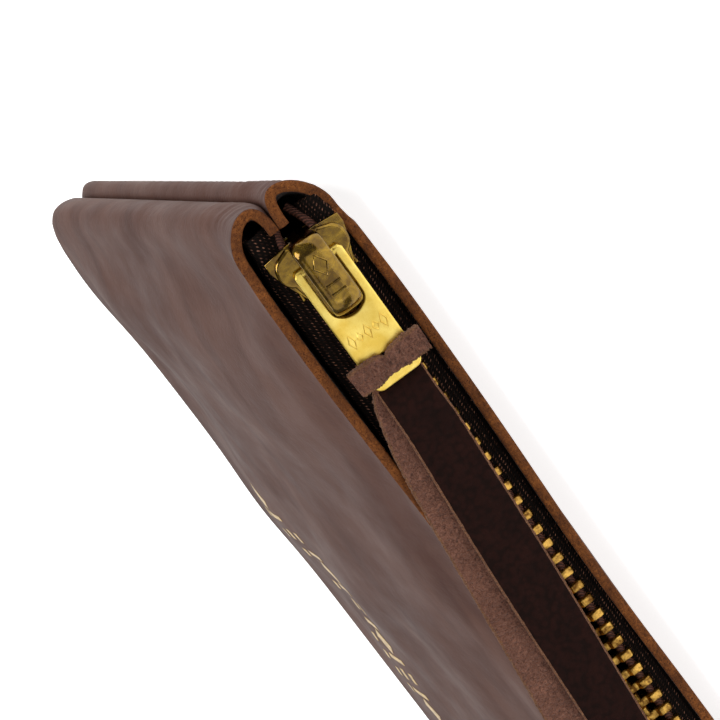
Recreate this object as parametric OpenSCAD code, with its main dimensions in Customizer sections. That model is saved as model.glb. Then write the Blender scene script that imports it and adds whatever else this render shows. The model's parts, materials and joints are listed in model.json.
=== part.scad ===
// Zippered leather pouch, lying on its back, with a closed metal zipper along its top edge.
// X runs along the zipper from the slider end to the far end, Y from the bottom seam to the
// mouth, Z up out of the front face. The origin is the middle of the back's flat resting face.

/* [Pouch] */
// Length of the pouch along the zipper
pouch_length = 150; // [110:1:190]
// Height of the pouch from bottom seam to mouth
pouch_height = 92; // [70:1:120]
// Thickness of the leather
leather = 1.4; // [1.2:0.1:1.6]
// Height of the seam plane above the table
seam_height = 7.4; // [7.2:0.1:8]
// Height of the front face above the seam plane, halfway down
front_bulge = 8.6; // [7.5:0.1:12]
// Height of the front face above the seam plane, at the bottom seam
bottom_puff = 5.8; // [5:0.1:7]
// Height of the back face below the seam plane, beside the side and bottom seams
back_puff = 3.4; // [3.2:0.1:5]
// Width of the turned edge's roll, on its outer side
roll_in = 4; // [3:0.5:5]
// Depth of the groove between the two turned edges
groove = 2.2; // [1.8:0.1:3]
// Rounding of the two bottom corners
corner_r = 8; // [7:0.5:12]
// Width of the seam allowance inside the pouch
allowance = 4; // [2:0.5:6]

/* [Mouth] */
// Tilt of the mouth towards the front face, in degrees
mouth_tilt = 14; // [8:1:18]
// Distance of the front lip's face from the middle of the chain
front_lip = 7; // [6.8:0.1:8]
// Distance of the back lip's face from the middle of the chain
back_lip = 6.6; // [6.6:0.1:8]
// How far the side seams meet the mouth from its middle, towards the front lip
seam_shift = 1.2; // [0:0.1:2]
// How far the lips stand above the middle of the chain
lip_rise = 1.35; // [1.2:0.05:1.6]
// Height of the chain above the seam plane
mouth_lift = 1; // [0.5:0.1:2]

/* [Zipper chain] */
// Spacing of the teeth in one row
tooth_pitch = 2.15; // [2.1:0.05:2.4]
// Thickness of a tooth along the zipper
tooth_thick = 1; // [0.9:0.05:1]
// Half of the width over both rows of teeth
chain_half = 3.1; // [2.9:0.05:3.2]
// Half of the height of a tooth
tooth_half = 1.05; // [0.9:0.05:1.1]
// How far a tooth's head reaches over the middle of the chain
head_reach = 0.65; // [0.4:0.05:0.8]
// Radius of the cord along the tape's edge
bead_r = 0.5; // [0.4:0.05:0.55]
// Distance of that cord from the middle of the chain
bead_offset = 2.15; // [2:0.05:2.2]
// Thickness of the woven tape
tape = 0.5; // [0.4:0.05:0.6]

/* [Slider] */
// Distance of the slider's nose from the side seam when the zipper is closed
nose_x = 4.6; // [4.2:0.1:5.5]
// Length of the slider
slider_length = 9.8; // [9.6:0.1:11]
// Half of the slider's width over the wings
wing_half = 4.5; // [4.3:0.05:4.5]
// Thickness of the slider's plates
plate = 0.8; // [0.7:0.05:1]
// Height of the crown above the slider's top plate
crown_height = 3.2; // [3:0.1:3.8]
// Width of the crown
crown_width = 3.6; // [3.2:0.1:3.8]
// Length of the crown
crown_length = 9.8; // [9.5:0.1:10.5]

/* [Puller] */
// Width of the puller
puller_width = 6.2; // [6:0.1:7.4]
// Thickness of the puller
puller_thick = 1; // [0.8:0.05:1]
// Distance from the puller's hinge to its far end
puller_reach = 15.9; // [15.5:0.1:18]
// Width of the leather strap
strap_width = 6; // [5:0.1:6.5]
// Thickness of the leather strap
strap_thick = 0.95; // [0.8:0.05:1]
// Length of the strap beyond the puller
strap_tail = 60; // [40:1:70]
// Width of the strap's knot across the puller
knot_width = 9.2; // [8:0.1:10]

/* [Hidden] */

half_l = pouch_length / 2;
half_h = pouch_height / 2;
// the middle of the chain, in the pouch's cross-section
chain_y = half_h - lip_rise * cos(mouth_tilt);
chain_z = seam_height + mouth_lift;
seam_gap = 0.05;
eps = 0.01;

// colours
grain = [0.27, 0.17, 0.15];
suede = [0.49, 0.33, 0.27];
strap_grain = [0.16, 0.08, 0.07];
thread = [0.45, 0.27, 0.22];
fabric = [0.07, 0.05, 0.045];
cord = [0.12, 0.08, 0.07];
antique = [0.42, 0.31, 0.14];
brass = [0.80, 0.68, 0.32];
dark_brass = [0.45, 0.36, 0.12];

// ---------------------------------------------------------------- the pouch's cross-section
// The first bend_from mm below the lips stand square to the tilted mouth, and by bend_to the
// walls are square to the table.
bend_from = 3.6;
bend_to = 20;

function smooth(k) = k <= 0 ? 0 : k >= 1 ? 1 : k * k * (3 - 2 * k);
function bend(depth) = smooth((depth - bend_from) / (bend_to - bend_from));
// a point at a depth below the lips and a height over the seam plane, as [y, z]
function in_section(depth, height) =
    let (k = bend(depth),
         n = lip_rise - depth,
         l = height + seam_shift,
         tilted = [chain_y + n * cos(mouth_tilt) - l * sin(mouth_tilt),
                   chain_z + n * sin(mouth_tilt) + l * cos(mouth_tilt)],
         square = [half_h - depth, seam_height + height])
    tilted * (1 - k) + square * k;

// How far a point of a face is from the puffed edge, 0, to the full thickness, 1.
// At the mouth the edge rises faster.
mouth_rise = 6;
body_rise = 18;
function fullness(x, depth) =
    let (inward = min(half_l - abs(x), pouch_height - depth),
         span = mouth_rise + (body_rise - mouth_rise) * bend(depth))
    smooth((inward - roll_in) / (span - roll_in));

// height of the front face over the seam plane, and of the back face under it
front_mouth = front_lip - seam_shift;
back_mouth = back_lip + seam_shift;
front_mouth_puff = 5.2;
back_mouth_puff = 4.8;
function mix(a, b, k) = a * (1 - k) + b * k;
function front_height(x, depth) =
    let (full = bottom_puff + (front_bulge - bottom_puff) * sin(180 * depth / pouch_height))
    mix(mix(front_mouth_puff, front_mouth, fullness(x, depth)),
        mix(bottom_puff, full, fullness(x, depth)), bend(depth));
function back_height(x, depth) =
    mix(mix(back_mouth_puff, back_mouth, fullness(x, depth)),
        mix(back_puff, seam_height, fullness(x, depth)), bend(depth));

// ---------------------------------------------------------------- a panel with turned edges
// The outline runs down one side, round both bottom corners and up the other side.
side_steps = 10;
arc_steps = 4;
base_steps = 12;
outline_steps = 2 * side_steps + 2 * arc_steps + base_steps;
face_steps = 7;
roll_steps = 8;
last_row = face_steps + roll_steps + 1;

// a point of the outline and the direction from it into the panel, as [x, depth, in_x, in_depth]
function outline(i) =
    i > outline_steps / 2
    ? let (o = outline(outline_steps - i)) [-o[0], o[1], -o[2], o[3]]
    : i <= side_steps
    ? [-half_l, (pouch_height - corner_r) * pow(i / side_steps, 1.6), 1, 0]
    : i <= side_steps + arc_steps
    ? let (a = 90 * (i - side_steps) / arc_steps)
      [-half_l + corner_r * (1 - cos(a)), pouch_height - corner_r * (1 - sin(a)), cos(a), -sin(a)]
    : [-half_l + corner_r
       + (pouch_length - 2 * corner_r) * (i - side_steps - arc_steps) / base_steps,
       pouch_height, 0, -1];

// The grid's rows run out from the pouch's centre line, level at the mouth and sloping lower
// down. All the rows to the bottom seam share the centre line's last point.
function centre_row(i) = min(i, outline_steps - i, side_steps);
function centre_depth(i) =
    let (d = outline(centre_row(i))[1])
    d * (1 - 0.3 * d / pouch_height);

// The seam allowance is trimmed short at the mouth, where the slider's nose comes close to it.
function allowance_at(depth) = mix(0.6, allowance, smooth((depth - 5) / 8));

// x, depth and height of a panel's grid point; inset 0 is the grain side, leather the flesh side
function panel_flat(i, j, front, inset) =
    let (o = outline(i),
         start = [o[0] + roll_in * o[2], o[1] + roll_in * o[3]])
    j <= face_steps
    ? let (b = 1 - pow(1 - j / face_steps, 1.8),
           d = mix(centre_depth(i), start[1], b),
           x = start[0] * b)
      [x, d, (front ? front_height(x, d) : back_height(x, d)) - inset]
    : let (full = front ? front_height(start[0], start[1]) : back_height(start[0], start[1]),
           a = 180 * min(1, (j - face_steps) / roll_steps),
           reach = (a < 90 ? roll_in : groove) - inset,
           inward = j == last_row ? groove + allowance_at(o[1]) : inset + reach * (1 - sin(a)))
      [o[0] + inward * o[2], o[1] + inward * o[3],
       full / 2 + seam_gap / 2 + (full / 2 - seam_gap / 2 - inset) * cos(a)];

// the flat face that rests on the table stops the back panel from sagging through it
function panel_point(i, j, front, inset) =
    let (p = panel_flat(i, j, front, inset),
         s = in_section(p[1], front ? p[2] : -p[2]))
    [p[0], s[0], front ? s[1] : max(s[1], inset)];

// the two halves of the grid share the points of the centre line
centre_count = side_steps + 1;
function grid_index(i, j) =
    j == 0 ? centre_row(i) : centre_count + (j - 1) * (outline_steps + 1) + i;

module panel(front) {
    count = centre_count + last_row * (outline_steps + 1);
    points = [for (inset = [0, leather])
        each concat([for (i = [0 : side_steps]) panel_point(i, 0, front, inset)],
            [for (j = [1 : last_row], i = [0 : outline_steps]) panel_point(i, j, front, inset)])];
    skin = [for (i = [0 : outline_steps - 1], j = [0 : last_row - 1])
        let (a = grid_index(i, j), b = grid_index(i + 1, j),
             c = grid_index(i + 1, j + 1), d = grid_index(i, j + 1))
        each a == b ? [[a, c, d]] : [[a, b, c], [a, c, d]]];
    lining = [for (t = skin) [t[2] + count, t[1] + count, t[0] + count]];
    // the cut edge along each half of the mouth
    lips = [for (i = [0, outline_steps], j = [0 : last_row - 1])
        let (a = grid_index(i, j), b = grid_index(i, j + 1),
             quad = [[a, b, b + count], [a, b + count, a + count]])
        each i == 0 ? quad : [for (t = quad) [t[2], t[1], t[0]]]];
    // the cut edge of the seam allowance
    hem = [for (i = [0 : outline_steps - 1])
        let (a = grid_index(i, last_row), b = grid_index(i + 1, last_row))
        each [[a, b, b + count], [a, b + count, a + count]]];
    faces = concat(skin, lining, lips, hem);
    polyhedron(points, front ? faces : [for (t = faces) [t[2], t[1], t[0]]], convexity = 8);
}

module front_panel() {
    color(grain) panel(true);
}

module back_panel() {
    color(grain) panel(false);
}

// ---------------------------------------------------------------- zipper tapes and cords
tape_end = 9;
cord_end = 6.5;
tape_depth = 11;
// below its seam the tape hangs clear of the wall
tape_hang = 1.2;
tape_length = pouch_length - 2 * tape_end;

// the middle of the tape, from its corded edge over to the wall and down it, as [y, z]
function tape_path(front) =
    let (side = front ? 1 : -1,
         wall_gap = leather + tape / 2 + 0.1,
         edge = bead_offset + bead_r + eps,
         end_x = half_l - tape_end + 1.5,
         corner = (front ? front_lip : back_lip) - wall_gap)
    concat(
        [for (l = [edge, (edge + corner) / 2, corner - 0.5])
            in_section(lip_rise, side * l - seam_shift)],
        [for (a = [30 : 30 : 90])
            in_section(lip_rise + 0.5 * (1 - cos(a)),
                       side * (corner - 0.5 * (1 - sin(a))) - seam_shift)],
        [for (k = [1 : 6])
            let (d = lip_rise + 0.5 + (tape_depth - lip_rise - 0.5) * k / 6,
                 wall = front ? front_height(end_x, d) : back_height(end_x, d),
                 gap = wall_gap + tape_hang * pow((k - 1) / 5, 0.6),
                 p = in_section(d, side * (wall - gap)))
            [p[0], front ? p[1] : max(p[1], gap)]]);

function unit(v) = v / norm(v);
function across(path, i) =
    let (last = len(path) - 1,
         t = unit(path[min(i + 1, last)] - path[max(i - 1, 0)]))
    [-t[1], t[0]];

// a strip of even thickness along a path
module ribbon(path, thickness) {
    left = [for (i = [0 : len(path) - 1]) path[i] + across(path, i) * thickness / 2];
    right = [for (i = [len(path) - 1 : -1 : 0]) path[i] - across(path, i) * thickness / 2];
    polygon(concat(left, right));
}

// a [y, z] section drawn out along X
module along_x(from, length) {
    translate([from, 0, 0]) rotate([90, 0, 90]) linear_extrude(length) children();
}

module tape_strip(front) {
    color(fabric) along_x(-half_l + tape_end, tape_length) ribbon(tape_path(front), tape);
}

module tape_front() {
    tape_strip(true);
}

module tape_back() {
    tape_strip(false);
}

// the tilted frame of the mouth: Y out of it and Z from the back lip to the front lip,
// with X counted from the side seam at the slider end
module mouth_frame() {
    translate([-half_l, chain_y, chain_z]) rotate([mouth_tilt, 0, 0]) children();
}

module bead_cord(side) {
    color(cord) mouth_frame() translate([cord_end, 0, side * bead_offset])
        rotate([0, 90, 0]) cylinder(r = bead_r, h = pouch_length - 2 * cord_end, $fn = 32);
}

module bead_cord_front() {
    bead_cord(1);
}

module bead_cord_back() {
    bead_cord(-1);
}

// ---------------------------------------------------------------- teeth and stops
first_tooth = nose_x + 8;
last_tooth = pouch_length - 10;
tooth_count = floor((last_tooth - first_tooth) / tooth_pitch);
cord_fit = 0.02;
leg_start = bead_offset - bead_r - 0.15;
head_half = tooth_half - 0.2;
head_chamfer = 0.35;

// a tooth's section: two legs that grip the corded tape, and a head towards the other row
module tooth_section(reach, legs, half) {
    difference() {
        polygon([[-half, legs], [-tooth_half, leg_start], [-tooth_half, chain_half],
                 [tooth_half, chain_half], [tooth_half, leg_start], [half, legs],
                 [half, head_chamfer - reach], [half - head_chamfer, -reach],
                 [head_chamfer - half, -reach], [-half, head_chamfer - reach]]);
        translate([0, bead_offset]) circle(r = bead_r + cord_fit, $fn = 32);
        translate([-tape / 2 - cord_fit, bead_offset])
            square([tape + 2 * cord_fit, chain_half]);
    }
}

module tooth_row(side) {
    offset_x = side > 0 ? 0 : tooth_pitch / 2;
    color(antique) mouth_frame() for (k = [0 : tooth_count - 1])
        mirror([0, 0, side > 0 ? 0 : 1])
            along_x(first_tooth + offset_x + k * tooth_pitch, tooth_thick)
                tooth_section(head_reach, leg_start - 0.2, head_half);
}

module teeth_front() {
    tooth_row(1);
}

module teeth_back() {
    tooth_row(-1);
}

stop_length = 1.6;
stop_x = nose_x + 4.5;

module top_stop(side) {
    color(antique) mouth_frame() mirror([0, 0, side > 0 ? 0 : 1])
        along_x(stop_x, stop_length) tooth_section(-leg_start + 0.15, leg_start, head_half);
}

module top_stop_front() {
    top_stop(1);
}

module top_stop_back() {
    top_stop(-1);
}

stop_end = first_tooth + (tooth_count + 0.5) * tooth_pitch + 0.3;

// one block over both cords, with a bore and a slot for each
module bottom_stop() {
    color(antique) mouth_frame() along_x(stop_end, 2.4) difference() {
        square([2 * tooth_half, 2 * chain_half], center = true);
        for (side = [-1, 1]) {
            translate([0, side * bead_offset]) circle(r = bead_r + cord_fit, $fn = 32);
            translate([0, side * (bead_offset + chain_half / 2)])
                square([tape + 2 * cord_fit, chain_half], center = true);
        }
    }
}

// ---------------------------------------------------------------- slider
channel_half = tooth_half + 0.15;
slider_top = channel_half + plate;
waist_half = chain_half + 0.6;
tape_slot = tape / 2 + 0.2;
rear_x = nose_x + slider_length;
wing_r = 1.2;

// both halves of an outline from the points on its front side
function mirrored(side) =
    concat(side, [for (i = [len(side) - 1 : -1 : 0]) [side[i][0], -side[i][1]]]);

// the top plate's wings are round
module top_outline() {
    polygon(mirrored(concat(
        [[nose_x, 1.7]],
        [for (a = [150 : -15 : 30])
            [nose_x + 2.6 + 1.5 * wing_r * cos(a), wing_half - wing_r + wing_r * sin(a)]],
        [[nose_x + 6.5, waist_half], [rear_x, waist_half]])));
}

// the bottom plate has square corners
module bottom_outline() {
    polygon(mirrored([[nose_x, 1.7], [nose_x + 1.75, wing_half], [nose_x + 3.6, wing_half],
                      [nose_x + 6.5, waist_half], [rear_x, waist_half]]));
}

// the channel for the chain: one throat at the rear, two either side of the post at the nose
module channel() {
    difference() {
        polygon(mirrored([[nose_x - 1, chain_half + 0.7], [nose_x + 3.5, chain_half + 0.65],
                          [nose_x + 6.5, chain_half + 0.2], [rear_x + 1, chain_half + 0.2]]));
        polygon(mirrored([[nose_x - 2, 1], [nose_x + 2, 1], [nose_x + 3.8, 0.25]]));
    }
}

// a flat shape laid in the mouth's plane between two heights over the chain
module slab(low, high) {
    translate([0, high, 0]) rotate([90, 0, 0]) linear_extrude(high - low) children();
}

pawl_x = nose_x + 7.5;
pawl_tip = 0.6;

module slider_body() {
    color(dark_brass) mouth_frame() {
        difference() {
            slab(channel_half, slider_top) top_outline();
            translate([pawl_x - 0.35, 0, -0.8]) cube([pawl_tip + 0.7, 3, 1.6]);
        }
        slab(tape_slot, channel_half) difference() {
            top_outline();
            channel();
        }
        slab(-channel_half, -tape_slot) difference() {
            bottom_outline();
            channel();
        }
        slab(-tape_slot, tape_slot) intersection() {
            bottom_outline();
            polygon(mirrored([[nose_x - 2, 1], [nose_x + 2, 1], [nose_x + 3.8, 0.25]]));
        }
        slab(-slider_top, -channel_half) bottom_outline();
    }
}

crown_x = nose_x - 0.2;
crown_wall = 0.9;
crown_top = slider_top + crown_height;
hinge_x = nose_x + 3.2;
hinge_n = slider_top + 0.8;
bar_r = puller_thick / 2;

// an arch seen from the side: square at the nose and rounder at the rear
module arch(x0, x1, low, high, nose_r, rear_r) {
    polygon(concat(
        [[x0, low]],
        [for (a = [180 : -15 : 90])
            [x0 + nose_r * (1 + cos(a)), high - nose_r * (1 - sin(a))]],
        [for (a = [90 : -15 : 0])
            [x1 - rear_r * (1 - cos(a)), high - rear_r * (1 - sin(a))]],
        [[x1, low]]));
}

// cheeks close the crown's sides above the puller's bar
cheek = 0.35;
module slider_crown() {
    rear = crown_x + crown_length;
    color(dark_brass) mouth_frame() difference() {
        translate([0, 0, -crown_width / 2]) linear_extrude(crown_width)
            arch(crown_x, rear, slider_top, crown_top, 0.8, 1.8);
        translate([0, 0, -crown_width / 2 + cheek]) linear_extrude(crown_width - 2 * cheek)
            arch(crown_x + crown_wall, rear - crown_wall, slider_top - 1,
                 crown_top - 0.75, 0.4, 1.2);
        translate([crown_x + crown_wall, 0, -crown_width])
            cube([crown_length - 2 * crown_wall, hinge_n + bar_r + 0.12, 2 * crown_width]);
    }
}

pawl_pivot = crown_x + crown_wall + 0.5;
pawl_low = hinge_n + bar_r + 0.15;
pawl_thick = 0.4;

// a flat spring whose tip drops through the top plate, just short of the teeth
module lock_pawl() {
    color(antique) mouth_frame() translate([0, 0, -0.6]) linear_extrude(1.2)
        polygon([[pawl_pivot - 0.3, pawl_low], [pawl_x, pawl_low], [pawl_x, tooth_half + 0.1],
                 [pawl_x + pawl_tip, tooth_half + 0.1],
                 [pawl_x + pawl_tip, pawl_low + pawl_thick],
                 [pawl_pivot - 0.3, pawl_low + pawl_thick]]);
}

// ---------------------------------------------------------------- puller and strap
window_half = crown_width / 2 + 0.25;
window_end = 6.9;
puller_r = 1;
hole_near = puller_reach - 3.6;
hole_far = puller_reach - 1.5;
hole_half = 1.8;

// a flat plate with a window round the crown and a hole for the strap
module puller() {
    color(brass) mouth_frame() translate([hinge_x, hinge_n, 0]) {
        slab(-puller_thick / 2, puller_thick / 2) difference() {
            union() {
                translate([0, -puller_width / 2])
                    square([puller_reach - puller_r, puller_width]);
                translate([0, puller_r - puller_width / 2])
                    square([puller_reach, puller_width - 2 * puller_r]);
                for (side = [-1, 1])
                    translate([puller_reach - puller_r, side * (puller_width / 2 - puller_r)])
                        circle(r = puller_r, $fn = 32);
            }
            translate([-eps, -window_half]) square([window_end, 2 * window_half]);
            translate([hole_near, -hole_half])
                square([hole_far - hole_near, 2 * hole_half]);
        }
        translate([0, 0, -puller_width / 2]) cylinder(r = bar_r, h = puller_width, $fn = 32);
    }
}

knot_low = puller_thick / 2 + 0.05;
knot_from = puller_reach - 3.9;
knot_to = puller_reach - 0.7;
under_top = -puller_thick / 2 - 0.1;
// the layer behind the puller is pressed thinner, and clears the lips
under_thick = hinge_n + under_top - lip_rise - 0.1;
bend_gap = 0.6;
bend_x = hinge_x + puller_reach + 0.6;

// the strap's knot: across the front of the puller, through its hole and out along its back
module strap_knot() {
    color(suede) mouth_frame() translate([hinge_x, hinge_n, 0]) {
        translate([knot_from, knot_low, -knot_width / 2])
            cube([knot_to - knot_from, strap_thick, knot_width]);
        translate([hole_near + 0.3, under_top - 0.1, -hole_half + 0.2])
            cube([hole_far - hole_near - 0.6, knot_low - under_top + 0.2, 2 * hole_half - 0.4]);
        translate([hole_near + 0.3, under_top - under_thick, -strap_width / 2])
            cube([puller_reach - 0.1 - hole_near, under_thick, strap_width]);
    }
}

// the middle of a tail at a distance along it: it drifts off towards the front lip
function drift(s, far) = far * smooth(s / (strap_tail * 1.2)) + 0.3 * (1 - smooth(s / strap_tail));

// a tail of the strap, between two heights over the chain
module tail(low, high, far) {
    steps = 24;
    start = bend_x + bend_gap;
    slab(low, high) polygon(concat(
        [for (k = [0 : steps]) let (s = strap_tail * k / steps)
            [start + s, drift(s, far) - strap_width / 2]],
        [for (k = [steps : -1 : 0]) let (s = strap_tail * k / steps)
            [start + s, drift(s, far) + strap_width / 2]]));
}

tail_split = lip_rise + 0.1 + strap_thick;

module strap_tail_top() {
    color(strap_grain) mouth_frame() tail(tail_split + 0.05, tail_split + 0.05 + strap_thick, 3.4);
}

module strap_tail_under() {
    color(suede) mouth_frame() tail(tail_split - strap_thick, tail_split, 10);
}

// ---------------------------------------------------------------- stitches
stitch_pitch = 3.4;
stitch_length = 2.6;
stitch_r = 0.22;
zip_stitch_depth = 3;

// one stitch of thread lying along X
module stitch(length) {
    translate([-length / 2, 0, 0]) rotate([0, 90, 0]) cylinder(r = stitch_r, h = length, $fn = 16);
}

// the row that holds a tape to its lip: on the outside of the leather
module zipper_stitches(side) {
    span = pouch_length - 2 * (mouth_rise + 3);
    count = floor(span / stitch_pitch);
    face = side > 0 ? front_mouth : back_mouth;
    place = in_section(zip_stitch_depth, side * (face + stitch_r + eps));
    color(thread) for (k = [0 : count])
        translate([(k - count / 2) * stitch_pitch, place[0], place[1]]) stitch(stitch_length);
}

module zipper_stitches_front() {
    zipper_stitches(1);
}

module zipper_stitches_back() {
    zipper_stitches(-1);
}

stitch_lift = leather + stitch_r + seam_gap + eps;
stitch_in = groove + 1.6;

// the side seams, sewn through both allowances inside the pouch
module side_stitches(side) {
    span = pouch_height - bend_to - corner_r - 4;
    count = floor(span / stitch_pitch);
    color(thread) for (k = [0 : count], face = [-1, 1])
        translate([side * (half_l - stitch_in), half_h - bend_to - k * stitch_pitch - 2,
                   seam_height + face * stitch_lift])
            rotate([0, 0, 90]) stitch(stitch_length);
}

module side_stitches_slider_end() {
    side_stitches(-1);
}

module side_stitches_far_end() {
    side_stitches(1);
}

module bottom_stitches() {
    span = pouch_length - 2 * corner_r - 4;
    count = floor(span / stitch_pitch);
    color(thread) for (k = [0 : count], face = [-1, 1])
        translate([(k - count / 2) * stitch_pitch, stitch_in - half_h,
                   seam_height + face * stitch_lift]) stitch(stitch_length);
}

front_panel();
back_panel();
tape_front();
tape_back();
bead_cord_front();
bead_cord_back();
teeth_front();
teeth_back();
top_stop_front();
top_stop_back();
bottom_stop();
slider_body();
slider_crown();
lock_pawl();
puller();
strap_knot();
strap_tail_top();
strap_tail_under();
zipper_stitches_front();
zipper_stitches_back();
side_stitches_slider_end();
side_stitches_far_end();
bottom_stitches();
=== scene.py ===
"""A leather pouch with a closed metal zipper, dressed around its CAD frame.

Lengths are in millimetres until piece() turns them into metres. Two frames are used: the row
frame, and the mouth frame, whose points are (x, n, l): x along the zipper from the side seam
at the slider end, n out of the mouth and l towards the front lip, from the chain's middle.
"""

import json
import math

import bmesh
import bpy
import numpy as np
from mathutils import Matrix, Vector


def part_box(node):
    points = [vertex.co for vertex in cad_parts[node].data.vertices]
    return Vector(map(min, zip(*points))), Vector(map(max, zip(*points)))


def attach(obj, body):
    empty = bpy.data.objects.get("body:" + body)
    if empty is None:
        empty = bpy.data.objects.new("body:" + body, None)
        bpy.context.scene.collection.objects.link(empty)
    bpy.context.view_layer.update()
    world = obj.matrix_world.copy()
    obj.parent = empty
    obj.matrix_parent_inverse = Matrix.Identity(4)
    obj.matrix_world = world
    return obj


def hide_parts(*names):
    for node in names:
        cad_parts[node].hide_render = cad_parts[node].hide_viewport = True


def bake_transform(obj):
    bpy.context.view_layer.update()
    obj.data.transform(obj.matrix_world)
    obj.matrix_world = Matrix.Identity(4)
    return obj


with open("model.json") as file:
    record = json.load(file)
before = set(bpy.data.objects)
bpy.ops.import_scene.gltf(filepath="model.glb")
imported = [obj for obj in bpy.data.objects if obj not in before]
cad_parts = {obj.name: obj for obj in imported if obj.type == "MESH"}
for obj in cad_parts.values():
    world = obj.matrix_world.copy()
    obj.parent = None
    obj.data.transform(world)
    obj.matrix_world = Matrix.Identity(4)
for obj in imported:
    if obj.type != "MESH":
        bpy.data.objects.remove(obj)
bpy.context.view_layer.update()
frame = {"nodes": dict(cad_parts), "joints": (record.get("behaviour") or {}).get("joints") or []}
MM = 0.001


# ------------------------------------------------------------------ places taken from the frame
def joint(name):
    return next(j for j in frame["joints"] if j["name"] == name)


def box_mm(node):
    low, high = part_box(node)
    return np.array(low) / MM, np.array(high) / MM


def middle(node):
    low, high = box_mm(node)
    return (low + high) / 2


X_AXIS = np.array([1.0, 0.0, 0.0])
ACROSS = np.array(joint("puller_tilt")["axis"])
OUT = np.array([0.0, ACROSS[2], -ACROSS[1]])
HALF_L = box_mm("front_panel")[1][0]
HALF_H = -box_mm("front_panel")[0][1]
SEAM_Z = middle("bottom_stitches")[2]
CHAIN = (middle("bead_cord_front") + middle("bead_cord_back")) / 2
MOUTH_ORIGIN = np.array([-HALF_L, CHAIN[1], CHAIN[2]])
HINGE = np.array(joint("puller_tilt")["pos_m"]) / MM - MOUTH_ORIGIN
HINGE_X, HINGE_N = HINGE[0], HINGE @ OUT
NOSE_X = box_mm("slider_body")[0][0] + HALF_L
REAR_X = box_mm("slider_body")[1][0] + HALF_L
STOP_X = box_mm("top_stop_front")[0][0] + HALF_L
FIRST_TOOTH = box_mm("teeth_front")[0][0] + HALF_L
LAST_TOOTH = box_mm("teeth_front")[1][0] + HALF_L


def to_row(points):
    """Mouth-frame points as row-frame points."""
    p = np.asarray(points, float)
    return MOUTH_ORIGIN + p[..., :1] * X_AXIS + p[..., 1:2] * OUT + p[..., 2:3] * ACROSS


def smooth(k):
    k = np.clip(k, 0.0, 1.0)
    return k * k * (3 - 2 * k)


def mix(a, b, k):
    return a * (1 - k) + b * k


def bell(x, centre, width):
    return np.exp(-(((x - centre) / width) ** 2))


def swell(x, y, size, seed, waves=9):
    """Uneven relief of about unit height, with features of about that size."""
    rng = np.random.default_rng(seed)
    total = np.zeros(np.broadcast(x, y).shape)
    for _ in range(waves):
        angle, phase = rng.uniform(0, 2 * math.pi, 2)
        k = 2 * math.pi / size * rng.uniform(0.5, 1.4)
        total = total + np.cos(k * (x * math.cos(angle) + y * math.sin(angle)) + phase)
    return total / math.sqrt(waves)


# ------------------------------------------------------------------------------ mesh building
class Part:
    """Points in millimetres in the row frame, faces, and each face's material number."""

    def __init__(self, points, faces, material=0, uv=None):
        self.points = np.asarray(points, float).reshape(-1, 3)
        self.faces = [tuple(int(i) for i in f) for f in faces]
        self.material = [material] * len(self.faces) if np.isscalar(material) else list(material)
        self.uv = np.zeros((len(self.points), 2)) if uv is None else np.asarray(uv).reshape(-1, 2)


def join(parts):
    points, faces, material, uv, start = [], [], [], [], 0
    for p in parts:
        points.append(p.points)
        uv.append(p.uv)
        faces += [tuple(i + start for i in f) for f in p.faces]
        material += p.material
        start += len(p.points)
    return Part(np.vstack(points), faces, material, np.vstack(uv))


def piece(name, parts, materials, body, replaces=(), sharp=40):
    """One visible piece of the object, riding on a body."""
    whole = join(parts)
    mesh = bpy.data.meshes.new(name)
    mesh.from_pydata([tuple(p) for p in whole.points * MM], [], whole.faces)
    for m in materials:
        mesh.materials.append(m)
    mesh.polygons.foreach_set("material_index", whole.material)
    layer = mesh.uv_layers.new(name="millimetres")
    corner = np.zeros(len(mesh.loops), np.int32)
    mesh.loops.foreach_get("vertex_index", corner)
    layer.data.foreach_set("uv", whole.uv[corner].astype(np.float32).ravel())
    tidy = bmesh.new()
    tidy.from_mesh(mesh)
    bmesh.ops.remove_doubles(tidy, verts=tidy.verts, dist=1e-3 * MM)
    bmesh.ops.recalc_face_normals(tidy, faces=tidy.faces)
    tidy.to_mesh(mesh)
    tidy.free()
    mesh.shade_smooth()
    mesh.set_sharp_from_angle(angle=math.radians(sharp))
    obj = bpy.data.objects.new(name, mesh)
    bpy.context.scene.collection.objects.link(obj)
    if body:
        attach(obj, body)
    if replaces:
        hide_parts(*replaces)
    return obj


def quads(index, wrap=False):
    """Faces between the rows and columns of a grid of point numbers."""
    if wrap:
        index = np.hstack([index, index[:, :1]])
    a, b = index[:-1, :-1], index[1:, :-1]
    c, d = index[1:, 1:], index[:-1, 1:]
    return np.stack([a, b, c, d], -1).reshape(-1, 4)


def normals(points, faces):
    """Unit normals of a grid's points."""
    faces = np.asarray(faces)
    p = points[faces]
    n = np.cross(p[:, 2] - p[:, 0], p[:, 3] - p[:, 1])
    total = np.zeros_like(points)
    for k in range(4):
        np.add.at(total, faces[:, k], n)
    return total / np.maximum(np.linalg.norm(total, axis=1, keepdims=True), 1e-9)


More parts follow.
